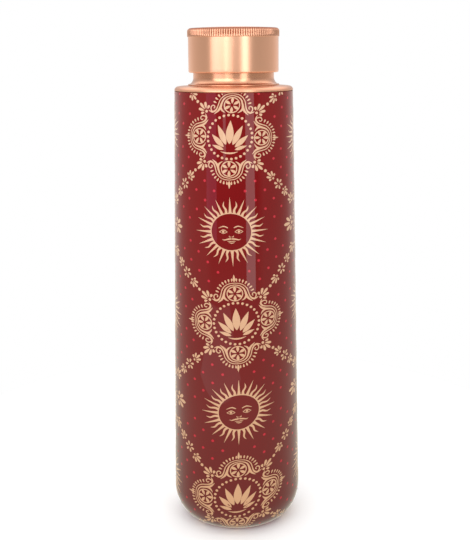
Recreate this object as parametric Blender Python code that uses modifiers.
"""Copper water bottle with a screw cap, as an assembly of separate turned pieces.

The frame stands on the floor: the origin is the centre of the base, +Z runs up the
bottle's own axis. Lengths in the constants are millimetres, and MM turns them into metres.

Pieces, from the floor up:
  body_shell       drawn and tapered copper cup, open at the top
  printed_sleeve   the lacquered print that covers the cup's outside
  shoulder_ring    spun copper ring that closes the top and steps in to the neck
  neck_tube        copper neck with a rolled thread and a rounded lip
  seal_washer      silicone washer between the lip and the cap
  thread_insert    threaded copper cup pressed into the cap
  cap_shell        outer copper cap with its proud rim
"""

import math

import bmesh
import bpy

MM = 0.001
FACETS = 48

# Body: a straight taper above a deep, rounded bottom corner.
BODY_BASE_RADIUS = 36.7
BODY_TOP_RADIUS = 32.8
BODY_TOP_Z = 250.2
CORNER_WIDTH = 14.0
CORNER_HEIGHT = 19.1
CORNER_STEPS = 7
COPPER_SHEET = 0.5

# Underside: a flat standing ring round a pressed-up centre.
STAND_INNER_RADIUS = 18.0
RECESS_RADIUS = 16.0
RECESS_DEPTH = 1.6

# Print: a lacquer film on the copper.
PRINT_GAP = 0.05
PRINT_THICKNESS = 0.15

# Shoulder ring: a nearly flat top, a rounded rim, and a skirt lapped inside the body.
SHOULDER_RIM_RADIUS = 33.05
SHOULDER_RIM_ROUND = 2.3
SHOULDER_RIM_Z = 250.5
SHOULDER_INNER_Z = 253.5
SKIRT_RADIUS = 32.0
SKIRT_BOTTOM_Z = 243.0
SPIGOT_RADIUS = 21.25
SPIGOT_TOP_Z = 258.5

# Neck: a tube with a flared foot, whose wall ends in a rounded lip.
NECK_RADIUS = 22.45
NECK_WALL = 0.9
NECK_STRAIGHT_Z = 257.6
FOOT_RADIUS = 25.3
FOOT_TOP_Z = 253.9
FOOT_UNDER_Z = 253.55
LIP_TOP_Z = 279.1

# Thread: a round ridge on the neck, running in a wider round groove in the cap.
THREAD_PITCH = 5.0
THREAD_CENTRE_RADIUS = 22.55
RIDGE_RADIUS = 0.95
RIDGE_START_Z = 264.5
RIDGE_TURNS = 2.0
GROOVE_RADIUS = 1.25
GROOVE_TURNS_BELOW = 1.1
GROOVE_TURNS_ABOVE = 0.3
THREAD_POINTS_PER_TURN = 36
THREAD_TAPER_POINTS = 5

# Cap: an outer copper cup over a threaded inner cup.
CAP_BOTTOM_Z = 260.3
CAP_TOP_Z = 285.0
CAP_EDGE_Z = 284.3
CAP_RADIUS = 25.0
CAP_RIM_RADIUS = 25.4
CAP_RIM_BOTTOM_Z = 279.5
CAP_RIM_ROUND = 1.9
INSERT_RADIUS = 24.35
INSERT_BORE_RADIUS = 22.85
INSERT_BOTTOM_Z = 260.6
INSERT_TOP_Z = 283.4
INSERT_CEILING_Z = 282.0

# Seal: a flat silicone washer under the cap's ceiling.
SEAL_OUTER_RADIUS = 22.5
SEAL_INNER_RADIUS = 19.0
SEAL_BOTTOM_Z = 279.4
SEAL_TOP_Z = 281.7

BRUSHED_COPPER = ("brushed_copper", (0.80, 0.45, 0.29), 0.30, 1.0)
PLAIN_COPPER = ("plain_copper", (0.72, 0.38, 0.24), 0.38, 1.0)
MAROON_LACQUER = ("maroon_lacquer", (0.21, 0.018, 0.03), 0.18, 0.0)
SILICONE = ("silicone", (0.86, 0.85, 0.82), 0.55, 0.0)


def clear_scene():
    """Remove whatever the scene holds."""
    for old in list(bpy.data.objects):
        bpy.data.objects.remove(old, do_unlink=True)


def new_collection(name):
    """Make a collection under the scene's own."""
    collection = bpy.data.collections.new(name)
    bpy.context.scene.collection.children.link(collection)
    return collection


def make_material(name, colour, roughness, metallic):
    """Make a Principled material."""
    material = bpy.data.materials.new(name)
    material.use_nodes = True
    shader = material.node_tree.nodes["Principled BSDF"]
    shader.inputs["Base Color"].default_value = (*colour, 1.0)
    shader.inputs["Roughness"].default_value = roughness
    shader.inputs["Metallic"].default_value = metallic
    return material


def arc(centre, radii, start, end, steps):
    """Points of an ellipse's arc in the (radius, height) plane, angles in radians."""
    points = []
    for step in range(steps + 1):
        angle = start + (end - start) * step / steps
        points.append((centre[0] + radii[0] * math.cos(angle),
                       centre[1] + radii[1] * math.sin(angle)))
    return points


def offset_path(points, distance):
    """Move an open (radius, height) path to its left by a distance, keeping its corners sharp."""
    moved = []
    last = len(points) - 1
    for index, (radius, height) in enumerate(points):
        before = points[max(index - 1, 0)]
        after = points[min(index + 1, last)]
        into = direction(before, (radius, height)) if index > 0 else direction((radius, height), after)
        out = direction((radius, height), after) if index < last else into
        left = (-(into[1] + out[1]), into[0] + out[0])
        scale = 2.0 * distance / (left[0] ** 2 + left[1] ** 2)
        moved.append((radius + left[0] * scale, height + left[1] * scale))
    return moved


def direction(start, end):
    """Unit vector from one point to another."""
    length = math.dist(start, end)
    return ((end[0] - start[0]) / length, (end[1] - start[1]) / length)


def turned_mesh(name, points, closed):
    """Make the mesh of a profile: (radius, height) points joined by edges."""
    mesh = bpy.data.meshes.new(name)
    vertices = [(radius * MM, 0.0, height * MM) for radius, height in points]
    edges = [(index, index + 1) for index in range(len(points) - 1)]
    if closed:
        edges.append((len(points) - 1, 0))
    mesh.from_pydata(vertices, edges, [])
    return mesh


def turned(name, points, material, closed=False):
    """Turn a profile about the Z axis with a Screw modifier."""
    piece = bpy.data.objects.new(name, turned_mesh(name, points, closed))
    PARTS.objects.link(piece)
    piece.data.materials.append(material)
    screw = piece.modifiers.new("Turn", "SCREW")
    screw.axis = "Z"
    screw.steps = FACETS
    screw.render_steps = FACETS
    screw.use_merge_vertices = True
    screw.merge_threshold = 0.00001
    screw.use_smooth_shade = True
    return piece


def make_shell(piece, thickness):
    """Give a turned surface a wall on its inner side."""
    wall = piece.modifiers.new("Wall", "SOLIDIFY")
    wall.thickness = thickness * MM
    wall.offset = -1.0
    wall.use_even_offset = True


def wall_outline():
    """Outer surface of the copper wall, from its open edge down round the bottom corner."""
    corner_centre = (BODY_BASE_RADIUS - CORNER_WIDTH, CORNER_HEIGHT)
    corner = arc(corner_centre, (CORNER_WIDTH, CORNER_HEIGHT), 0.0, -math.pi / 2, CORNER_STEPS)
    return [(BODY_TOP_RADIUS, BODY_TOP_Z)] + corner


def body_outline():
    """Outer surface of the copper cup, from its open edge to the middle of its underside."""
    underside = [
        (STAND_INNER_RADIUS, 0.0),
        (RECESS_RADIUS, RECESS_DEPTH),
        (0.0, RECESS_DEPTH),
    ]
    return wall_outline() + underside


def film_outline():
    """Outer surface of the print, which stops one step above the standing ring."""
    return offset_path(wall_outline()[:-1], PRINT_GAP + PRINT_THICKNESS)


def shoulder_outline():
    """Outer surface of the shoulder: spigot, top, rounded rim, step and skirt."""
    rim_centre = (SHOULDER_RIM_RADIUS - SHOULDER_RIM_ROUND, SHOULDER_RIM_Z)
    rim = arc(rim_centre, (SHOULDER_RIM_ROUND, SHOULDER_RIM_ROUND), math.radians(84), 0.0, 4)
    return [
        (SPIGOT_RADIUS, SPIGOT_TOP_Z),
        (SPIGOT_RADIUS, SHOULDER_INNER_Z + 0.6),
        (SPIGOT_RADIUS + 0.6, SHOULDER_INNER_Z),
        *rim,
        (SKIRT_RADIUS, SHOULDER_RIM_Z),
        (SKIRT_RADIUS, SKIRT_BOTTOM_Z),
    ]


def neck_outline():
    """Closed section of the neck: lip, outer wall, flared foot and bore."""
    lip_round = NECK_WALL / 2
    lip_centre = (NECK_RADIUS - lip_round, LIP_TOP_Z - lip_round)
    lip = arc(lip_centre, (lip_round, lip_round), math.pi, 0.0, 6)
    flare_centre = (FOOT_RADIUS, NECK_STRAIGHT_Z)
    flare_size = (FOOT_RADIUS - NECK_RADIUS, NECK_STRAIGHT_Z - FOOT_TOP_Z)
    flare = arc(flare_centre, flare_size, math.pi, 1.5 * math.pi, 4)
    bore_radius = NECK_RADIUS - NECK_WALL
    foot_under = [
        (FOOT_RADIUS, FOOT_UNDER_Z),
        (bore_radius + 0.9, FOOT_UNDER_Z + 0.25),
        (bore_radius, FOOT_UNDER_Z + 1.1),
    ]
    return lip + flare + foot_under


def insert_outline():
    """Section of the threaded cup: outer top, outer wall, lower edge, bore and ceiling."""
    return [
        (0.0, INSERT_TOP_Z),
        (INSERT_RADIUS - 0.6, INSERT_TOP_Z),
        (INSERT_RADIUS, INSERT_TOP_Z - 0.6),
        (INSERT_RADIUS, INSERT_BOTTOM_Z),
        (INSERT_BORE_RADIUS, INSERT_BOTTOM_Z),
        (INSERT_BORE_RADIUS, INSERT_CEILING_Z),
        (0.0, INSERT_CEILING_Z),
    ]


def seal_outline():
    """Closed section of the washer."""
    return [
        (SEAL_INNER_RADIUS, SEAL_TOP_Z),
        (SEAL_OUTER_RADIUS, SEAL_TOP_Z),
        (SEAL_OUTER_RADIUS, SEAL_BOTTOM_Z),
        (SEAL_INNER_RADIUS, SEAL_BOTTOM_Z),
    ]


def cap_outline():
    """Outer surface of the cap: crowned top, rounded proud rim, wall and open lower edge."""
    rim_centre = (CAP_RIM_RADIUS - CAP_RIM_ROUND, CAP_EDGE_Z - CAP_RIM_ROUND)
    rim = arc(rim_centre, (CAP_RIM_ROUND, CAP_RIM_ROUND), math.pi / 2, 0.0, 4)
    crown_drop = CAP_TOP_Z - CAP_EDGE_Z
    crown = []
    for share in (0.0, 0.5):
        crown.append((rim_centre[0] * share, CAP_TOP_Z - crown_drop * share ** 2))
    return [
        *crown,
        *rim,
        (CAP_RIM_RADIUS, CAP_RIM_BOTTOM_Z + 0.3),
        (CAP_RADIUS, CAP_RIM_BOTTOM_Z),
        (CAP_RADIUS, CAP_BOTTOM_Z),
    ]


def thread_height(turn):
    """Height of the thread's centre line after a number of turns."""
    return RIDGE_START_Z + THREAD_PITCH * turn


def thread_tube(name, first_turn, last_turn, radius, taper_points):
    """Round rod along the thread's helix, as a closed mesh object."""
    count = round((last_turn - first_turn) * THREAD_POINTS_PER_TURN)
    curve = bpy.data.curves.new(name + "_path", "CURVE")
    curve.dimensions = "3D"
    curve.bevel_depth = radius * MM
    curve.bevel_resolution = 2
    curve.use_fill_caps = True
    spline = curve.splines.new("POLY")
    spline.points.add(count)
    for index, point in enumerate(spline.points):
        turn = first_turn + index / THREAD_POINTS_PER_TURN
        angle = 2 * math.pi * turn
        point.co = (THREAD_CENTRE_RADIUS * MM * math.cos(angle),
                    THREAD_CENTRE_RADIUS * MM * math.sin(angle),
                    thread_height(turn) * MM, 1.0)
        to_end = min(index, count - index)
        if to_end < taper_points:
            point.radius = 0.35 + 0.65 * to_end / taper_points
    path = bpy.data.objects.new(name + "_path", curve)
    CUTTERS.objects.link(path)
    bpy.context.view_layer.update()
    mesh = bpy.data.meshes.new_from_object(path.evaluated_get(bpy.context.evaluated_depsgraph_get()))
    mesh.name = name
    bm = bmesh.new()
    bm.from_mesh(mesh)
    bmesh.ops.remove_doubles(bm, verts=bm.verts, dist=0.000001)
    bmesh.ops.recalc_face_normals(bm, faces=bm.faces)
    bm.to_mesh(mesh)
    bm.free()
    tube = bpy.data.objects.new(name, mesh)
    tube.matrix_world = path.matrix_world.copy()
    bpy.data.objects.remove(path, do_unlink=True)
    CUTTERS.objects.link(tube)
    tube.hide_render = True
    tube.display_type = "WIRE"
    return tube


def combine(piece, other, operation):
    """Union with, or cut by, another object."""
    boolean = piece.modifiers.new(operation.title(), "BOOLEAN")
    boolean.operation = operation
    boolean.solver = "EXACT"
    boolean.object = other


def parent_keep(child, parent):
    """Parent an object and leave it where it is."""
    child.parent = parent
    child.matrix_parent_inverse = parent.matrix_world.inverted()


def build_body(copper, lacquer):
    """The cup and the print that covers it."""
    body = turned("body_shell", body_outline(), copper)
    make_shell(body, COPPER_SHEET)
    sleeve = turned("printed_sleeve", film_outline(), lacquer)
    make_shell(sleeve, PRINT_THICKNESS)


def build_top(shoulder_copper, neck_copper):
    """The shoulder ring and the threaded neck."""
    shoulder = turned("shoulder_ring", shoulder_outline(), shoulder_copper)
    make_shell(shoulder, COPPER_SHEET)
    neck = turned("neck_tube", neck_outline(), neck_copper, closed=True)
    ridge = thread_tube("thread_ridge", 0.0, RIDGE_TURNS, RIDGE_RADIUS, THREAD_TAPER_POINTS)
    combine(neck, ridge, "UNION")


def build_cap(cap_copper, insert_copper, silicone):
    """The cap's three pieces, on an empty whose Z axis is the screw's axis."""
    shell = turned("cap_shell", cap_outline(), cap_copper)
    make_shell(shell, COPPER_SHEET)
    insert = turned("thread_insert", insert_outline(), insert_copper)
    last_turn = RIDGE_TURNS + GROOVE_TURNS_ABOVE
    groove = thread_tube("thread_groove", -GROOVE_TURNS_BELOW, last_turn, GROOVE_RADIUS, 0)
    combine(insert, groove, "DIFFERENCE")
    washer = turned("seal_washer", seal_outline(), silicone, closed=True)

    screw_axis = bpy.data.objects.new("cap_screw_axis", None)
    screw_axis.location = (0.0, 0.0, CAP_BOTTOM_Z * MM)
    PARTS.objects.link(screw_axis)
    bpy.context.view_layer.update()
    for piece in (shell, insert, washer, groove):
        parent_keep(piece, screw_axis)


clear_scene()
PARTS = new_collection("copper_water_bottle")
CUTTERS = new_collection("cutters")
brushed_copper = make_material(*BRUSHED_COPPER)
plain_copper = make_material(*PLAIN_COPPER)
maroon_lacquer = make_material(*MAROON_LACQUER)
silicone_rubber = make_material(*SILICONE)
build_body(plain_copper, maroon_lacquer)
build_top(brushed_copper, plain_copper)
build_cap(brushed_copper, plain_copper, silicone_rubber)
